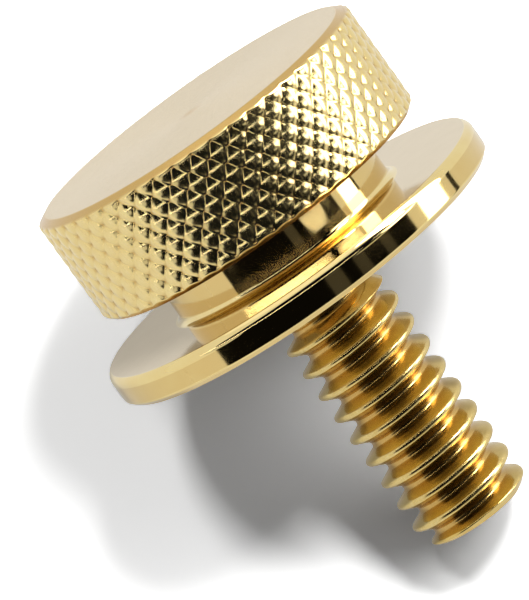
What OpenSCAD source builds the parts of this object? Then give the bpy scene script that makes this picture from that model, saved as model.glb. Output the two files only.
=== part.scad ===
// Turned mounting knob: a diamond-knurled head, a plain neck, a wide flange and a threaded shank,
// cut as one piece from round bar. It stands on its head, so the thread points up along +Z
// and the head's flat face lies at z = 0. All sizes are in millimetres.

/* [Head] */
// Diameter over the knurl
head_d = 14.5; // [12.5:0.1:20]
// Height of the head, from its face to the neck
head_h = 4.6; // [3:0.1:6]
// Height of the chamfer round the face
face_chamfer_h = 0.24; // [0.1:0.02:0.5]
// Width of the chamfer round the face
face_chamfer_w = 0.44; // [0.34:0.02:0.8]
// Height of the chamfer at the head's neck side
back_chamfer_h = 0.22; // [0.1:0.02:0.4]
// Width of the chamfer at the head's neck side
back_chamfer_w = 0.24; // [0.2:0.02:0.6]

/* [Knurl] */
// Number of grooves in each of the two crossing directions
knurl_starts = 52; // [40:1:56]
// Angle between a groove and the axis
knurl_angle = 41; // [30:1:50]
// Depth of the grooves
knurl_depth = 0.11; // [0.06:0.01:0.16]
// Share of a diamond that is left flat on top
knurl_land = 0.42; // [0.2:0.02:0.7]

/* [Neck] */
// Diameter of the neck
neck_d = 9.75; // [7:0.05:11]
// Length of the neck, which is the gap between the head and the flange
neck_h = 1.8; // [1:0.05:4]
// Radius of the fillets at the neck's two ends
neck_fillet = 0.3; // [0.05:0.01:0.4]

/* [Flange] */
// Diameter of the flange
flange_d = 17; // [14:0.1:24]
// Thickness of the flange
flange_t = 1.35; // [1:0.05:3]
// Radius of the rounded edge on the neck side
flange_round = 0.4; // [0.1:0.01:0.6]
// Size of the chamfer on the seat side
flange_chamfer = 0.22; // [0.05:0.01:0.3]
// Diameter of the shallow recess in the seat, round the shank
recess_d = 5.4; // [5.2:0.1:7]
// Depth of that recess, which lets the seat lie flush
recess_h = 0.12; // [0.05:0.01:0.3]

/* [Thread] */
// Major diameter of the thread
thread_d = 4.826; // [3:0.001:5]
// Pitch of the thread
thread_pitch = 1.058; // [0.8:0.001:1.25]
// Length of the shank, from the seat to the tip
shank_h = 11.5; // [6:0.1:16]
// Width of the rounded crest, as a share of the pitch
crest_w = 0.16; // [0.1:0.01:0.2]
// How far the crest's middle stands above its two edges
crest_rise = 0.05; // [0.02:0.01:0.08]
// Width of the flat root, as a share of the pitch
root_w = 0.2; // [0.16:0.01:0.3]
// How far the relief groove beside the seat lies below the root
relief_depth = 0.03; // [0.02:0.01:0.3]
// Length of the relief groove, up to where the thread starts
relief_h = 1.15; // [0.5:0.05:2]
// Size of the chamfer at the tip
tip_chamfer = 0.32; // [0.1:0.02:0.6]
// Turn of the thread about the axis, in degrees
thread_turn = 236; // [0:1:360]

/* [Hidden] */
$fn = 96;
// Half of the angle between the two flanks of a thread groove
flank_angle = 30;
// Facets in one turn of the thread
turn_steps = 32;
// How far a cutting shape runs past what it cuts
over = 0.3;

// Heights of the shoulders, from the face up
flange_z = head_h + neck_h;
seat_z = flange_z + flange_t;
relief_z = seat_z + relief_h;
tip_z = seat_z + shank_h;

// Radii
head_r = head_d / 2;
neck_r = neck_d / 2;
flange_r = flange_d / 2;
groove_r = head_r - knurl_depth;
recess_r = recess_d / 2;
thread_r = thread_d / 2;
flank_w = thread_pitch * (1 - crest_w - root_w) / 2;
root_r = thread_r - crest_rise - flank_w / tan(flank_angle);
relief_r = root_r * cos(180 / turn_steps) - relief_depth;

// Size of one knurl diamond: its angle about the axis and its height along it
diamond_turn = 360 / knurl_starts;
diamond_w = PI * head_d / knurl_starts;
diamond_h = diamond_w / tan(knurl_angle);
// Rows of groove crossings, half a diamond apart, an even number that runs past both ends
knurl_rows = 2 * ceil((head_h + over) / diamond_h) + 2;
knurl_z = (head_h - knurl_rows * diamond_h / 2) / 2;

function polar(r, angle, z) = [r * cos(angle), r * sin(angle), z];
function halves(quad) = [[quad[0], quad[1], quad[2]], [quad[0], quad[2], quad[3]]];

// A solid bar with a diamond knurl: two families of V grooves meet at the crossings, and what
// stays between them is a four-sided pyramid with a flat top. Crossings of odd rows are shifted
// by half a diamond, so each diamond of a row sits between two crossings of that row.
module knurled_bar() {
    n = knurl_starts;
    rows = knurl_rows;
    tops = (rows + 1) * n;
    bottom_point = tops + 4 * n * (rows - 1);
    function cross(c, row) = row * n + (c + n) % n;
    function top(c, row, k) = tops + 4 * ((row - 1) * n + c) + k;
    function left(c, row) = cross(row % 2 == 0 ? c : c - 1, row);
    function right(c, row) = cross(row % 2 == 0 ? c + 1 : c, row);
    crossings = [
        for (row = [0:rows]) for (c = [0:n - 1])
            polar(groove_r, (c + (row % 2) / 2) * diamond_turn, knurl_z + row * diamond_h / 2)
    ];
    flats = [
        for (row = [1:rows - 1]) for (c = [0:n - 1]) for (side = [[-1, 0], [0, -1], [1, 0], [0, 1]])
            polar(head_r,
                (c + ((row + 1) % 2) / 2 + side[0] * knurl_land / 2) * diamond_turn,
                knurl_z + (row + side[1] * knurl_land) * diamond_h / 2)
    ];
    ends = [[0, 0, knurl_z], [0, 0, knurl_z + rows * diamond_h / 2]];
    flat_faces = [
        for (row = [1:rows - 1]) for (c = [0:n - 1])
            for (face = [
                [top(c, row, 0), top(c, row, 3), top(c, row, 1)],
                [top(c, row, 3), top(c, row, 2), top(c, row, 1)]
            ]) face
    ];
    side_faces = [
        for (row = [1:rows - 1]) for (c = [0:n - 1])
            for (quad = [
                [left(c, row), top(c, row, 0), top(c, row, 1), cross(c, row - 1)],
                [cross(c, row + 1), top(c, row, 3), top(c, row, 0), left(c, row)],
                [right(c, row), top(c, row, 2), top(c, row, 3), cross(c, row + 1)],
                [cross(c, row - 1), top(c, row, 1), top(c, row, 2), right(c, row)]
            ]) for (face = halves(quad)) face
    ];
    end_faces = [
        for (c = [0:n - 1])
            for (face = [
                [bottom_point, cross(c, 0), cross(c, 1)],
                [bottom_point, cross(c, 1), cross(c + 1, 0)],
                [bottom_point + 1, cross(c, rows - 1), cross(c, rows)],
                [bottom_point + 1, cross(c + 1, rows), cross(c, rows - 1)]
            ]) face
    ];
    polyhedron(concat(crossings, flats, ends), concat(flat_faces, side_faces, end_faces));
}

// A threaded bar from z_low to z_high or a little more. Its rows follow the thread's profile
// up the bar and climb by one pitch in each turn, so the last column meets the first column
// one pitch higher.
module threaded_bar(z_low, z_high) {
    n = turn_steps;
    profile = [
        [-crest_w / 2, thread_r - crest_rise],
        [0, thread_r],
        [crest_w / 2, thread_r - crest_rise],
        [0.5 - root_w / 2, root_r],
        [0.5 + root_w / 2, root_r]
    ];
    step = len(profile);
    first = floor(z_low / thread_pitch) - 1;
    turns = ceil(z_high / thread_pitch + crest_w) - first;
    last = turns * step;
    function at(c, row) = c < n ? c * (last + 1) + row : row + step;
    bar_points = [
        for (c = [0:n - 1]) for (row = [0:last])
            let (k = row % step)
            polar(profile[k][1], thread_turn + c * 360 / n,
                (first + floor(row / step) + profile[k][0] + c / n) * thread_pitch)
    ];
    ends = [
        [0, 0, (first + 0.5) * thread_pitch],
        [0, 0, (first + turns + 0.5) * thread_pitch]
    ];
    bottom_point = n * (last + 1);
    wall_faces = [
        for (c = [0:n - 1]) for (row = [0:(c < n - 1 ? last : last - step) - 1])
            for (face = halves([at(c, row), at(c, row + 1), at(c + 1, row + 1), at(c + 1, row)])) face
    ];
    bottom_faces = concat(
        [for (c = [0:n - 1]) [bottom_point, at(c, 0), at(c + 1, 0)]],
        [for (row = [0:step - 1]) [bottom_point, at(0, row + 1), at(0, row)]]
    );
    top_faces = concat(
        [for (c = [0:n - 2]) [bottom_point + 1, at(c + 1, last), at(c, last)]],
        [[bottom_point + 1, at(0, last), at(n - 1, last - step)]],
        [for (row = [last - step:last - 1]) [bottom_point + 1, at(n - 1, row), at(n - 1, row + 1)]]
    );
    polyhedron(concat(bar_points, ends), concat(wall_faces, bottom_faces, top_faces));
}

// The head's turned outline, which cuts the knurl off at both chamfers
module head_outline() {
    polygon([
        [0, 0],
        [head_r - face_chamfer_w, 0],
        [head_r + over, face_chamfer_h + over * face_chamfer_h / face_chamfer_w],
        [head_r + over, head_h - back_chamfer_h - over * back_chamfer_h / back_chamfer_w],
        [head_r - back_chamfer_w, head_h],
        [0, head_h]
    ]);
}

// The concave corner piece of a fillet, which fills the corner at the origin
module fillet_corner(r) {
    difference() {
        square(r);
        translate([r, r]) circle(r);
    }
}

module neck_outline() {
    translate([0, head_h - over]) square([neck_r, neck_h + 2 * over]);
    translate([neck_r, head_h]) fillet_corner(neck_fillet);
    translate([neck_r, flange_z]) mirror([0, 1]) fillet_corner(neck_fillet);
}

module flange_outline() {
    difference() {
        polygon([
            [0, flange_z],
            [flange_r, flange_z],
            [flange_r, seat_z - flange_chamfer],
            [flange_r - flange_chamfer, seat_z],
            [recess_r, seat_z],
            [recess_r - recess_h, seat_z - recess_h],
            [0, seat_z - recess_h]
        ]);
        translate([flange_r, flange_z]) mirror([1, 0]) fillet_corner(flange_round);
    }
}

// The relief groove, from inside the flange to inside the thread
module relief_outline() {
    translate([0, seat_z - flange_t / 2]) square([relief_r, flange_t / 2 + relief_h + over]);
}

// The thread's turned outline: the lead-in cone beside the relief and the chamfer at the tip
module thread_outline() {
    lead = thread_r + over - relief_r;
    polygon([
        [0, relief_z],
        [relief_r, relief_z],
        [relief_r + lead, relief_z + lead],
        [relief_r + lead, tip_z - tip_chamfer - over],
        [thread_r - tip_chamfer, tip_z],
        [0, tip_z]
    ]);
}

module mounting_knob() {
    color("gold") {
        intersection() {
            rotate_extrude() head_outline();
            knurled_bar();
        }
        rotate_extrude() neck_outline();
        rotate_extrude() flange_outline();
        rotate_extrude() relief_outline();
        intersection() {
            rotate_extrude() thread_outline();
            threaded_bar(relief_z, tip_z);
        }
    }
}

mounting_knob();
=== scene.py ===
import math

import bpy
import numpy as np
from mathutils import Matrix, Vector


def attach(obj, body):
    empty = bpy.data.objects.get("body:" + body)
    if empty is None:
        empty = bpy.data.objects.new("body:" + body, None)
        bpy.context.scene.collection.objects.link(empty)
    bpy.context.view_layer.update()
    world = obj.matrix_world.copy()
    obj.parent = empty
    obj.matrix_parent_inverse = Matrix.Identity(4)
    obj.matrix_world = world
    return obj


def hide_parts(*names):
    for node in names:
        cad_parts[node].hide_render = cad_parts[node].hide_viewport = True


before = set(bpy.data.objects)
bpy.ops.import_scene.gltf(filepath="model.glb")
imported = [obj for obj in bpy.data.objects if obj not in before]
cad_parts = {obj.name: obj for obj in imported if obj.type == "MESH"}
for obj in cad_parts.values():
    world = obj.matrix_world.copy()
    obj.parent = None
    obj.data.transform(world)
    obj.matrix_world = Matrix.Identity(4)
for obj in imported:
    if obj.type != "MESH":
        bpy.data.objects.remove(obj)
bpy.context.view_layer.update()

# The mounting knob as the photograph shows it: one turned piece, plated in polished gold.
# The lengths of the knob below are in millimetres and repeat the part's own sizes.
# Only the knurl's grooves are a little shallower, because its diamonds are rounded like pillows here.
# Blender's scene is in metres.

MM = 0.001

HEAD_R = 7.25
HEAD_H = 4.6
FACE_CHAMFER_H = 0.24
FACE_CHAMFER_W = 0.44
BACK_CHAMFER_H = 0.22
BACK_CHAMFER_W = 0.24
KNURL_STARTS = 52
KNURL_ANGLE = math.radians(41)
KNURL_DEPTH = 0.10
DIAMOND_H = 2 * math.pi * HEAD_R / KNURL_STARTS / math.tan(KNURL_ANGLE)
NECK_R = 4.875
NECK_FILLET = 0.3
FLANGE_R = 8.5
FLANGE_Z = 6.4
SEAT_Z = 7.75
FLANGE_ROUND = 0.4
FLANGE_CHAMFER = 0.22
RECESS_R = 2.7
RECESS_H = 0.12
THREAD_R = 2.413
ROOT_R = 1.7766
RELIEF_R = 1.738
PITCH = 1.058
RELIEF_Z = 8.9
TIP_Z = 19.25
TIP_CHAMFER = 0.32
THREAD_TURN = 236.0
ROOT_W = 0.2 * PITCH
# How far a flank's normal tilts away from the radius
FLANK_TILT = math.radians(60)

# Looks of the knurl and of the small edges. The roundings are in millimetres.
PILLOW_POWER = 2.0
EDGE_SOFT = 0.03
BACK_EDGE_SOFT = 0.015
CHAMFER_SOFT = 0.12
CREST_ROUND = 0.15
# Where the flange's rounded edge stops short of its face, as an angle from the rim
ROUND_END = math.radians(63)

# Wear and painted shade, from 0 in hollows, which are painted darker as shade, to 1 on rubbed edges, and the value of a
# plain surface
PLAIN_WEAR_AND_SHADE = 0.3
# A face whose normal lies this close to the axis counts as flat
FLAT_NORMAL = 0.9995

# How finely the pieces are cut
TURN_COLUMNS = 288
DIAMOND_STEPS = 12
THREAD_COLUMNS = 128


def smooth_min(a, b, width):
    """The lower of two heights, with the crease between them rounded over a width."""
    blend = np.maximum(width - np.abs(a - b), 0.0)
    return np.minimum(a, b) - blend * blend / (4 * width)


def make_piece(name, points, faces, wall, flat, wear_and_shade):
    """A piece of the knob, from points in millimetres, with one material for its walls and one for its flat faces."""
    mesh = bpy.data.meshes.new(name)
    mesh.from_pydata((np.asarray(points) * MM).tolist(), [], faces)
    mesh.attributes.new("wear_and_shade", "FLOAT", "POINT").data.foreach_set("value", np.asarray(wear_and_shade, np.float32))
    mesh.materials.append(wall)
    mesh.materials.append(flat)
    for polygon in mesh.polygons:
        polygon.material_index = int(abs(polygon.normal.z) > FLAT_NORMAL)
    mesh.shade_smooth()
    piece = bpy.data.objects.new(name, mesh)
    bpy.context.scene.collection.objects.link(piece)
    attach(piece, "root")
    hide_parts("mounting_knob")
    return piece


def ring(r, z, turned):
    """One ring of points at the given angles. r may be one radius or a radius for each angle."""
    r = np.broadcast_to(r, turned.shape)
    return np.stack([r * np.cos(turned), r * np.sin(turned), np.full(len(turned), float(z))], 1)


def ring_faces(shifts, columns, first=0):
    """Faces between neighbouring rings. Where one ring is turned by half a column, they are triangles."""
    faces = []
    for row, (low, high) in enumerate(zip(shifts, shifts[1:])):
        a, b = first + row * columns, first + (row + 1) * columns
        for c in range(columns):
            d = (c + 1) % columns
            if low == high:
                faces.append((a + c, a + d, b + d, b + c))
            elif high:
                faces += [(a + c, a + d, b + c), (a + d, b + d, b + c)]
            else:
                faces += [(a + c, b + d, b + c), (a + c, a + d, b + d)]
    return faces


def rounded(corners, steps=6):
    """A polyline through (radius, height, rounding) corners, with each corner rounded as it says."""
    spots = [np.array(c[:2], float) for c in corners]
    line = [spots[0]]
    for before, corner, after, (_, _, rounding) in zip(spots, spots[1:], spots[2:], corners[1:]):
        if rounding == 0:
            line.append(corner)
            continue
        a, b = before - corner, after - corner
        a, b = a / np.linalg.norm(a), b / np.linalg.norm(b)
        half = math.acos(float(a @ b)) / 2
        middle = corner + (a + b) / np.linalg.norm(a + b) * rounding / math.sin(half)
        first = corner + a * rounding / math.tan(half) - middle
        last = corner + b * rounding / math.tan(half) - middle
        turn = math.atan2(first[0] * last[1] - first[1] * last[0], float(first @ last))
        for k in range(steps + 1):
            c, s = math.cos(turn * k / steps), math.sin(turn * k / steps)
            line.append(middle + [c * first[0] - s * first[1], s * first[0] + c * first[1]])
    line.append(spots[-1])
    return line


def with_steps(line, longest, margin):
    """The polyline with extra points, so that no stretch is too long and long ones have a point near both ends."""
    out = [line[0]]
    for p, q in zip(line, line[1:]):
        length = np.linalg.norm(q - p)
        stops = []
        if length > 4 * margin:
            count = math.ceil(length / longest)
            stops = [margin / length] + [k / count for k in range(1, count)] + [1 - margin / length]
        out += [p + (q - p) * t for t in stops] + [q]
    return out


def knurl_radius(angle, z):
    """The knurled wall's radius: two crossing families of grooves, with pillow-like diamonds between them."""
    climb = (z - HEAD_H / 2) / DIAMOND_H
    turn = angle * KNURL_STARTS / (2 * math.pi)
    near = [2 * np.abs(phase - np.round(phase)) for phase in (turn + climb, turn - climb)]
    return HEAD_R - KNURL_DEPTH / 2 * sum((1 - t) ** PILLOW_POWER for t in near)


def build_head(wall, flat):
    """The head: its face, the knurled wall between two chamfers, and its back as far as the neck's fillet."""
    step = DIAMOND_H / (2 * DIAMOND_STEPS)
    columns = KNURL_STARTS * DIAMOND_STEPS
    half_rows = math.floor((HEAD_H / 2 - EDGE_SOFT) / step)
    face_r = HEAD_R - FACE_CHAMFER_W
    back_r = HEAD_R - BACK_CHAMFER_W
    levels = [EDGE_SOFT / 3] + [HEAD_H / 2 + k * step for k in range(-half_rows, half_rows + 1)]
    levels.append(HEAD_H - EDGE_SOFT / 3)
    angles = np.arange(columns) * 2 * math.pi / columns
    rows, shifts, wear_and_shade = [], [], [0.0]
    for r in (0.6, 2.0, 3.4, 4.6, 5.6, 6.3, face_r - 0.12, face_r - EDGE_SOFT):
        rows.append(ring(r, 0.0, angles))
        shifts.append(0)
        wear_and_shade += [PLAIN_WEAR_AND_SHADE] * columns
    for row, z in enumerate(levels):
        shift = (row + half_rows + 1) % 2
        turned = angles + shift * math.pi / columns
        front = np.full(columns, face_r + z * FACE_CHAMFER_W / FACE_CHAMFER_H)
        back = np.full(columns, back_r + (HEAD_H - z) * BACK_CHAMFER_W / BACK_CHAMFER_H)
        r = smooth_min(knurl_radius(turned, z), front, EDGE_SOFT)
        r = smooth_min(r, back, BACK_EDGE_SOFT)
        rows.append(ring(r, z, turned))
        shifts.append(shift)
        # Painted shade: the knurl's grooves and the chamfers get low values, so their gold is painted darker
        wear_and_shade += np.clip(1 - (HEAD_R - r) / KNURL_DEPTH, 0, 1).tolist()
    for r in (back_r - EDGE_SOFT, back_r - 0.12, 6.4, 5.8, 5.2, NECK_R + NECK_FILLET):
        rows.append(ring(r, HEAD_H, angles))
        shifts.append(0)
        wear_and_shade += [PLAIN_WEAR_AND_SHADE] * columns
    points = np.concatenate([[[0.0, 0.0, 0.0]]] + rows)
    faces = [(0, 1 + (c + 1) % columns, 1 + c) for c in range(columns)]
    return make_piece("knob_head", points, faces + ring_faces(shifts, columns, 1), wall, flat, wear_and_shade)


def build_body(wall, flat):
    """The neck, the flange and the recess in the seat, turned from one profile."""
    edge = [
        (FLANGE_R - FLANGE_ROUND * (1 - math.cos(t)), FLANGE_Z + FLANGE_ROUND * (math.sin(ROUND_END) - math.sin(t)), 0)
        for t in (ROUND_END * k / 9 for k in range(9, -1, -1))
    ]
    profile = rounded([
        (NECK_R + NECK_FILLET + 0.001, HEAD_H, 0),
        (NECK_R, HEAD_H, NECK_FILLET),
        (NECK_R, FLANGE_Z, NECK_FILLET),
    ] + edge + [
        (FLANGE_R, SEAT_Z - FLANGE_CHAMFER, CHAMFER_SOFT),
        (FLANGE_R - FLANGE_CHAMFER, SEAT_Z, CHAMFER_SOFT),
        (RECESS_R, SEAT_Z, EDGE_SOFT),
        (RECESS_R - RECESS_H, SEAT_Z - RECESS_H, EDGE_SOFT),
        (RELIEF_R - 0.1, SEAT_Z - RECESS_H, 0),
    ], 10)
    profile = with_steps(profile, 0.5, 0.015)
    angles = np.arange(TURN_COLUMNS) * 2 * math.pi / TURN_COLUMNS
    points = np.concatenate([ring(r, z, angles) for r, z in profile])
    bends = np.array([0.0] + [
        np.linalg.norm((q - p) / np.linalg.norm(q - p) - (p - o) / max(np.linalg.norm(p - o), 1e-9))
        for o, p, q in zip(profile, profile[1:], profile[2:])
    ] + [0.0])
    wear_and_shade = PLAIN_WEAR_AND_SHADE + (1 - PLAIN_WEAR_AND_SHADE) * np.clip(bends * 6, 0, 1)
    faces = ring_faces([0] * len(profile), TURN_COLUMNS)
    return make_piece("knob_body", points, faces, wall, flat, np.repeat(wear_and_shade, TURN_COLUMNS))


def thread_profile():
    """One pitch of the thread as (height, radius) pairs from root to root: straight flanks, round crest and root."""
    root_round = ROOT_W / 2 * math.tan(FLANK_TILT)
    pairs = []
    for k in range(-6, 7):
        tilt = k / 6 * FLANK_TILT
        pairs.append((CREST_ROUND * math.sin(tilt), THREAD_R - CREST_ROUND * (1 - math.cos(tilt))))
    low = (PITCH / 2 - root_round * math.sin(FLANK_TILT), ROOT_R + root_round / 2)
    high = pairs[-1]
    flank = [(high[0] + (low[0] - high[0]) * k / 4, high[1] + (low[1] - high[1]) * k / 4) for k in range(1, 4)]
    root = [
        (PITCH / 2 - root_round * math.sin(t), ROOT_R + root_round * (1 - math.cos(t)))
        for t in (FLANK_TILT * (1 - k / 6) for k in range(7))
    ]
    side = flank + root
    return [(-z, r) for z, r in reversed(side)] + pairs + side[:-1]


def build_shank(wall, flat):
    """The relief groove and the helical thread, cut off by the lead-in cone and by the chamfer at the tip."""
    n = THREAD_COLUMNS
    bottom = SEAT_Z - RECESS_H - 0.02
    one = np.array(thread_profile())
    count = len(one)
    turns = math.ceil((TIP_Z - bottom) / PITCH) + 3
    start = math.floor(bottom / PITCH) - 1
    heights = np.concatenate([one[:, 0] + (start + k) * PITCH for k in range(turns)])
    order = np.argsort(one[:, 0])
    rows = len(heights)
    points, wear_and_shade, index, places = [], [], np.zeros((n, rows), int), {}
    for c in range(n):
        lift = (360 * c / n - THREAD_TURN) / 360 * PITCH
        z = np.clip(heights + lift, bottom, TIP_Z)
        phase = (z - lift + PITCH / 2) % PITCH - PITCH / 2
        r = np.interp(phase, one[order, 0], one[order, 1], period=PITCH)
        lead = np.where(z < RELIEF_Z, RELIEF_R, RELIEF_R + z - RELIEF_Z)
        tip = THREAD_R - TIP_CHAMFER + TIP_Z - z
        r = smooth_min(np.minimum(r, lead), tip, EDGE_SOFT)
        t = 2 * math.pi * c / n
        for k in range(rows):
            key = (c, round(z[k], 5))
            if key not in places:
                places[key] = len(points)
                points.append((r[k] * math.cos(t), r[k] * math.sin(t), z[k]))
                # Painted shade: the thread's roots get low values, so their gold is painted darker
                wear_and_shade.append((r[k] - ROOT_R) / (THREAD_R - ROOT_R))
            index[c, k] = places[key]
    faces = []
    for c in range(n):
        d, step = (c + 1, 0) if c < n - 1 else (0, count)
        for k in range(rows - 1 - step):
            corners = (index[c, k], index[d, k + step], index[d, k + 1 + step], index[c, k + 1])
            corners = tuple(dict.fromkeys(int(i) for i in corners))
            if len(corners) > 2:
                faces.append(corners)
    rim = [places[(c, round(TIP_Z, 5))] for c in range(n)]
    for share in (0.985, 0.6, 0.2):
        inner = list(range(len(points), len(points) + n))
        for c in rim:
            x, y = points[c][:2]
            points.append((x * share, y * share, TIP_Z))
            wear_and_shade.append(PLAIN_WEAR_AND_SHADE)
        faces += [(rim[c], rim[(c + 1) % n], inner[(c + 1) % n], inner[c]) for c in range(n)]
        rim = inner
    faces.append(tuple(rim))
    return make_piece("knob_shank", points, faces, wall, flat, np.clip(wear_and_shade, 0, 1))


class Nodes:
    """A small helper that adds shader nodes to one tree and links them."""

    def __init__(self, tree):
        self.tree = tree
        tree.nodes.clear()

    def add(self, kind, inputs=None, **settings):
        node = self.tree.nodes.new(kind)
        for key, value in settings.items():
            setattr(node, key, value)
        for key, value in (inputs or {}).items():
            if isinstance(value, bpy.types.NodeSocket):
                self.tree.links.new(value, node.inputs[key])
            else:
                node.inputs[key].default_value = value
        return node

    def math(self, operation, a, b=0.0, clamp=False):
        return self.add("ShaderNodeMath", {0: a, 1: b}, operation=operation, use_clamp=clamp).outputs[0]

    def ramp(self, value, low, high, to_low, to_high):
        inputs = {"Value": value, "From Min": low, "From Max": high, "To Min": to_low, "To Max": to_high}
        return self.add("ShaderNodeMapRange", inputs).outputs["Result"]

    def noise(self, vector, scale, detail, dimensions="3D"):
        inputs = {"Vector": vector, "Scale": scale, "Detail": detail, "Roughness": 0.55}
        return self.add("ShaderNodeTexNoise", inputs, noise_dimensions=dimensions).outputs["Fac"]

    def mix(self, share, a, b):
        return self.add("ShaderNodeMix", {0: share, 6: a, 7: b}, data_type="RGBA").outputs[2]

    def before_diffuse(self):
        """1 on rays that no matt surface has scattered, so that the table gets no light from the cards."""
        return self.math("LESS_THAN", self.add("ShaderNodeLightPath").outputs["Diffuse Depth"], 0.5)


def new_material(name):
    material = bpy.data.materials.new(name)
    material.use_nodes = True
    return material, Nodes(material.node_tree)


def gold_material(name):
    """Gold plate: turning marks round the axis, a slight waviness, hollows painted darker as painted shade and paler
    rubbed edges.
    """
    tones, roughness, turning, waviness, anisotropy = FINISHES[name]
    material, n = new_material(name)
    spot = n.add("ShaderNodeTexCoord").outputs["Object"]
    mm = n.add("ShaderNodeVectorMath", {0: spot, 1: (1000.0,) * 3}, operation="MULTIPLY").outputs[0]
    axes = n.add("ShaderNodeSeparateXYZ", {0: mm}).outputs
    radius = n.math("SQRT", n.math("ADD", n.math("MULTIPLY", axes[0], axes[0]), n.math("MULTIPLY", axes[1], axes[1])))
    round_axis = n.add("ShaderNodeCombineXYZ", {0: radius, 1: axes[2]}).outputs[0]
    marks = n.noise(round_axis, 26.0, 3.0, "2D")
    waves = n.noise(mm, 1.1, 2.0)
    specks = n.noise(mm, 9.0, 4.0)
    wear_and_shade = n.add("ShaderNodeAttribute", attribute_name="wear_and_shade").outputs["Fac"]
    rubbed = n.math("MULTIPLY", n.ramp(wear_and_shade, 0.75, 1.0, 0.0, 1.0), n.ramp(specks, 0.35, 0.65, 0.2, 1.0))
    # Painted shade: in the hollows the gold is mixed towards a dark orange-brown
    hollow_shade = n.ramp(wear_and_shade, 0.0, 0.55, 1.0, 0.0)
    plate = n.mix(n.ramp(waves, 0.3, 0.7, 0.0, 1.0), *tones)
    plate = n.mix(n.math("MULTIPLY", rubbed, RUBBED_SHARE), plate, GOLD_RUBBED)
    plate = n.mix(n.math("MULTIPLY", hollow_shade, HOLLOW_SHADE_SHARE), plate, GOLD_HOLLOW_SHADE)
    rough = n.math("ADD", n.ramp(specks, 0.3, 0.7, roughness * 0.8, roughness * 1.25), n.math("MULTIPLY", rubbed, 0.05))
    rough = n.math("ADD", rough, n.math("MULTIPLY", hollow_shade, 0.06))
    height = n.math("ADD", n.math("MULTIPLY", marks, turning), n.math("MULTIPLY", waves, waviness))
    bump = n.add("ShaderNodeBump", {"Height": height, "Strength": 1.0, "Distance": MM})
    shader = n.add("ShaderNodeBsdfPrincipled", {
        "Base Color": plate, "Metallic": 1.0, "Roughness": rough, "Normal": bump.outputs[0],
        "Anisotropic": anisotropy, "Anisotropic Rotation": 0.25,
    })
    n.add("ShaderNodeOutputMaterial", {0: shader.outputs[0]})
    return material


# Colours of the gold plate
GOLD_BRIGHT = ((0.79, 0.61, 0.26, 1.0), (0.81, 0.65, 0.29, 1.0))
# Painted sheen: the same gold, paler and creamier, for the flat faces
GOLD_SATIN_SHEEN = ((0.73, 0.63, 0.40, 1.0), (0.77, 0.67, 0.44, 1.0))
# Painted shade: the same gold, darker, for the thread
GOLD_THREAD_SHADE = ((0.60, 0.42, 0.12, 1.0), (0.69, 0.51, 0.17, 1.0))
GOLD_RUBBED = (0.86, 0.74, 0.42, 1.0)
# Painted shade: the dark colour that the hollows are painted with
GOLD_HOLLOW_SHADE = (0.55, 0.34, 0.10, 1.0)
RUBBED_SHARE = 0.35
HOLLOW_SHADE_SHARE = 0.85
# Each finish has its two colours, its roughness, the height in millimetres of its turning marks
# and of its waviness, and how much its highlights stretch across the turning marks.
FINISHES = {
    "gold_satin": (GOLD_SATIN_SHEEN, 0.21, 0.00008, 0.0008, 0.3),
    "gold_faced": (GOLD_SATIN_SHEEN, 0.035, 0.00004, 0.0003, 0.3),
    "gold_knurled": (GOLD_BRIGHT, 0.15, 0.0, 0.0006, 0.0),
    "gold_turned": (GOLD_BRIGHT, 0.045, 0.00003, 0.0005, 0.0),
    "gold_threaded": (GOLD_THREAD_SHADE, 0.17, 0.0, 0.004, 0.0),
}

# The table that the knob lies on in the photograph: it touches the flange's rim and the thread's tip
TABLE_AT_RIM = Vector((0.0, 8.5, 7.63)) * MM
TABLE_AT_TIP = Vector((0.0, 2.413, 18.95)) * MM
TABLE_GAP = 0.02 * MM
TABLE_SIZE = 0.6

# Light on the table. Each lamp has the direction that it shines from, its width and its strength.
LAMPS = {
    "top_lamp": ((0.01, -0.57, -0.82), math.radians(12), 0.90),
    "key_lamp": ((-0.46, -0.68, -0.56), math.radians(12), 1.42),
    "side_lamp": ((-0.82, -0.43, -0.38), math.radians(36), 1.32),
}
# The table is lighter to the camera than to the metal, so that the background is white
TABLE_WHITE = 1.95
TABLE_WHITE_MIRRORED = 0.65
# Share of the table's tone that is left for light scattered by another matt surface
TABLE_SCATTERED = 0.2
TABLE_GLOW = 0.015
TABLE_GLOW_MIRRORED = 0.28
AMBIENT = 0.13

# What the polished metal mirrors: a white tent with a dark opening, dim stripes and a few bright boxes.
# Each card has the azimuth and elevation of its middle in degrees, seen from the knob's middle, its distance,
# width and height in metres, its brightness, and whether it is round.
TENT = 0.95
KNOB_MIDDLE = Vector((0.0, 0.0, 8.0)) * MM
CARDS = {
    "dark_opening": (0, -1, 0.30, 1.15, 0.62, 0.004, False),
    "dim_top": (0, 68, 0.25, 0.27, 0.27, 0.40, True),
    "side_box": (-80, -12, 0.12, 0.046, 0.16, 6.0, False),
    "top_box": (0, -88, 0.35, 0.38, 0.38, 1.2, True),
    "tent_gap": (-83, 10, 0.0214, 0.0013, 0.008, 0.03, False),
    "dim_stripe_a": (-44, 6, 0.28, 0.030, 0.20, 0.06, False),
    "dim_stripe_b": (-27, 6, 0.28, 0.034, 0.20, 0.06, False),
    "dim_stripe_c": (-11, 6, 0.28, 0.046, 0.20, 0.07, False),
    "spark_a": (-58, -42, 0.30, 0.06, 0.24, 26.0, False),
    "spark_b": (-86, -46, 0.30, 0.06, 0.24, 26.0, False),
}
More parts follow.
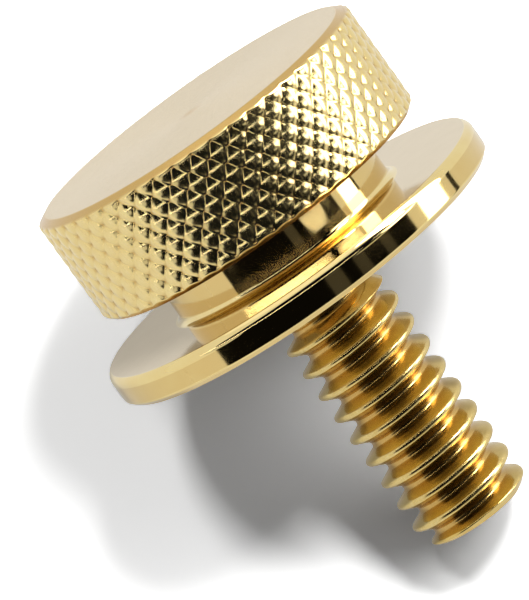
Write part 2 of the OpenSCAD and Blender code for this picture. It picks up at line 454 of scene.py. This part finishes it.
# Glowing strips bent round the axis, well away from the knob. The neck mirrors the first two onto the
# flange's face, and the others light the knurl and the neck. Each has the azimuths of its two ends in
# degrees, its radius, the heights of its lower edge and of its arched upper edge, and its brightness.
STRIPS = {
    "wide_strip": (-28, 64, 27.0, 1.60, 2.05, 8.0),
    "short_strip": (-61, -32, 27.0, 1.60, 1.92, 8.0),
    "knurl_strip": (-60, -37, 27.0, 3.6, 8.6, 4.0),
    "dim_knurl_strip": (37, 60, 27.0, 3.6, 8.6, 0.75),
    "neck_strip": (-43, -21, 21.7, 7.9, 8.9, 1.3),
}

# The photograph's camera, in metres
CAMERA_AT = Vector((0.0, -218.79, -32.03)) * MM
CAMERA_TARGET = Vector((1.874, 0.0, 7.597)) * MM
CAMERA_ROLL = math.radians(144.165)
LENS = 347.6
SENSOR = 36.0


def add_card(name, points, faces, brightness):
    """A glowing card, which only the metal's reflections see."""
    mesh = bpy.data.meshes.new(name)
    mesh.from_pydata(points, [], faces)
    material, n = new_material(name)
    level = n.math("MULTIPLY", n.before_diffuse(), brightness)
    glow = n.add("ShaderNodeEmission", {"Color": (1.0, 1.0, 1.0, 1.0), "Strength": level})
    n.add("ShaderNodeOutputMaterial", {0: glow.outputs[0]})
    mesh.materials.append(material)
    card = bpy.data.objects.new(name, mesh)
    bpy.context.scene.collection.objects.link(card)
    card.visible_camera = False
    card.visible_diffuse = False
    card.visible_transmission = False
    card.visible_shadow = False
    return card


def build_strips():
    for name, (start, end, r, low, high, brightness) in STRIPS.items():
        points, faces = [], []
        for k in range(33):
            share = k / 16 - 1
            a = math.radians((start + end) / 2 + share * (end - start) / 2)
            for z in (low, low + (high - low) * math.sqrt(1 - share * share)):
                points.append((r * MM * math.sin(a), -r * MM * math.cos(a), z * MM))
            if k:
                faces.append((2 * k - 2, 2 * k - 1, 2 * k + 1, 2 * k))
        add_card(name, points, faces, brightness)


def build_cards():
    """Flat cards round the knob."""
    for name, (azimuth, elevation, distance, width, height, brightness, is_round) in CARDS.items():
        a, e = math.radians(azimuth), math.radians(elevation)
        out = Vector((math.sin(a) * math.cos(e), -math.cos(a) * math.cos(e), math.sin(e)))
        corners = 48 if is_round else 4
        start = 0 if is_round else math.pi / 4
        reach = 0.5 if is_round else math.sqrt(0.5)
        flat = [
            (width * reach * math.cos(start + 2 * math.pi * k / corners),
             height * reach * math.sin(start + 2 * math.pi * k / corners), 0.0)
            for k in range(corners)
        ]
        card = add_card(name, flat, [tuple(range(corners))], brightness)
        card.matrix_world = (
            Matrix.Translation(KNOB_MIDDLE + out * distance) @ out.to_track_quat("Z", "Y").to_matrix().to_4x4()
        )


def build_table():
    """The white table top. It has only one side, so that nothing hides the knob in views from behind."""
    along = (TABLE_AT_TIP - TABLE_AT_RIM).normalized()
    across = Vector((1.0, 0.0, 0.0))
    normal = along.cross(across).normalized()
    if normal.y > 0:
        normal = -normal
    middle = (TABLE_AT_RIM + TABLE_AT_TIP) / 2 - normal * TABLE_GAP
    half = TABLE_SIZE / 2
    corners = [middle + across * half * i + along * half * j for i, j in ((-1, -1), (1, -1), (1, 1), (-1, 1))]
    mesh = bpy.data.meshes.new("table_top")
    mesh.from_pydata([tuple(c) for c in corners], [], [(0, 1, 2, 3)])
    if mesh.polygons[0].normal.dot(normal) < 0:
        mesh.flip_normals()
    material, n = new_material("table_white")
    seen = n.add("ShaderNodeLightPath").outputs["Is Camera Ray"]
    direct = n.before_diffuse()
    tone = n.ramp(seen, 0.0, 1.0, TABLE_WHITE_MIRRORED, TABLE_WHITE)
    tone = n.math("MULTIPLY", tone, n.ramp(direct, 0.0, 1.0, TABLE_SCATTERED, 1.0))
    grain = n.noise(n.add("ShaderNodeTexCoord").outputs["Object"], 900.0, 3.0)
    tone = n.math("MULTIPLY", tone, n.ramp(grain, 0.3, 0.7, 0.99, 1.0))
    grey = n.add("ShaderNodeCombineColor", {0: tone, 1: tone, 2: tone}).outputs[0]
    matt = n.add("ShaderNodeBsdfDiffuse", {"Color": grey})
    shine = n.math("MULTIPLY", n.ramp(seen, 0.0, 1.0, TABLE_GLOW_MIRRORED, TABLE_GLOW), direct)
    glow = n.add("ShaderNodeEmission", {"Strength": shine})
    front = n.add("ShaderNodeAddShader", {0: matt.outputs[0], 1: glow.outputs[0]})
    behind = n.add("ShaderNodeNewGeometry").outputs["Backfacing"]
    clear = n.add("ShaderNodeBsdfTransparent")
    one_sided = n.add("ShaderNodeMixShader", {0: behind, 1: front.outputs[0], 2: clear.outputs[0]})
    n.add("ShaderNodeOutputMaterial", {0: one_sided.outputs[0]})
    mesh.materials.append(material)
    table = bpy.data.objects.new("table_top", mesh)
    bpy.context.scene.collection.objects.link(table)


def build_lamps():
    for name, (direction, width, strength) in LAMPS.items():
        sun = bpy.data.lights.new(name, "SUN")
        sun.angle = width
        sun.energy = strength
        lamp = bpy.data.objects.new(name, sun)
        lamp.rotation_mode = "QUATERNION"
        lamp.rotation_quaternion = Vector(direction).to_track_quat("Z", "Y")
        lamp.visible_glossy = False
        bpy.context.scene.collection.objects.link(lamp)


def build_world():
    """White behind everything, a white tent for the metal to mirror, and a low level of light all round."""
    world = bpy.data.worlds.new("studio")
    world.use_nodes = True
    bpy.context.scene.world = world
    n = Nodes(world.node_tree)
    path = n.add("ShaderNodeLightPath").outputs
    seen = n.math("MAXIMUM", path["Is Camera Ray"], path["Is Transmission Ray"])
    mirrored = n.math("MULTIPLY", path["Is Glossy Ray"], n.before_diffuse())
    level = n.ramp(mirrored, 0.0, 1.0, AMBIENT, TENT)
    level = n.math("MAXIMUM", seen, level)
    back = n.add("ShaderNodeBackground", {"Color": (1.0, 1.0, 1.0, 1.0), "Strength": level})
    n.add("ShaderNodeOutputWorld", {0: back.outputs[0]})


def build_camera():
    data = bpy.data.cameras.new("photo_camera")
    data.lens = LENS
    data.sensor_width = SENSOR
    data.clip_start = 0.01
    data.clip_end = 10.0
    camera = bpy.data.objects.new("photo_camera", data)
    aim = (CAMERA_TARGET - CAMERA_AT).to_track_quat("-Z", "Y").to_matrix().to_4x4()
    camera.matrix_world = Matrix.Translation(CAMERA_AT) @ aim @ Matrix.Rotation(CAMERA_ROLL, 4, "Z")
    bpy.context.scene.collection.objects.link(camera)
    bpy.context.scene.camera = camera


bpy.context.scene.view_settings.view_transform = "Standard"

satin = gold_material("gold_satin")
faced = gold_material("gold_faced")
build_head(gold_material("gold_knurled"), satin)
build_body(gold_material("gold_turned"), faced)
build_shank(gold_material("gold_threaded"), satin)

build_table()
build_lamps()
build_cards()
build_strips()
build_world()
build_camera()

bpy.context.view_layer.update()
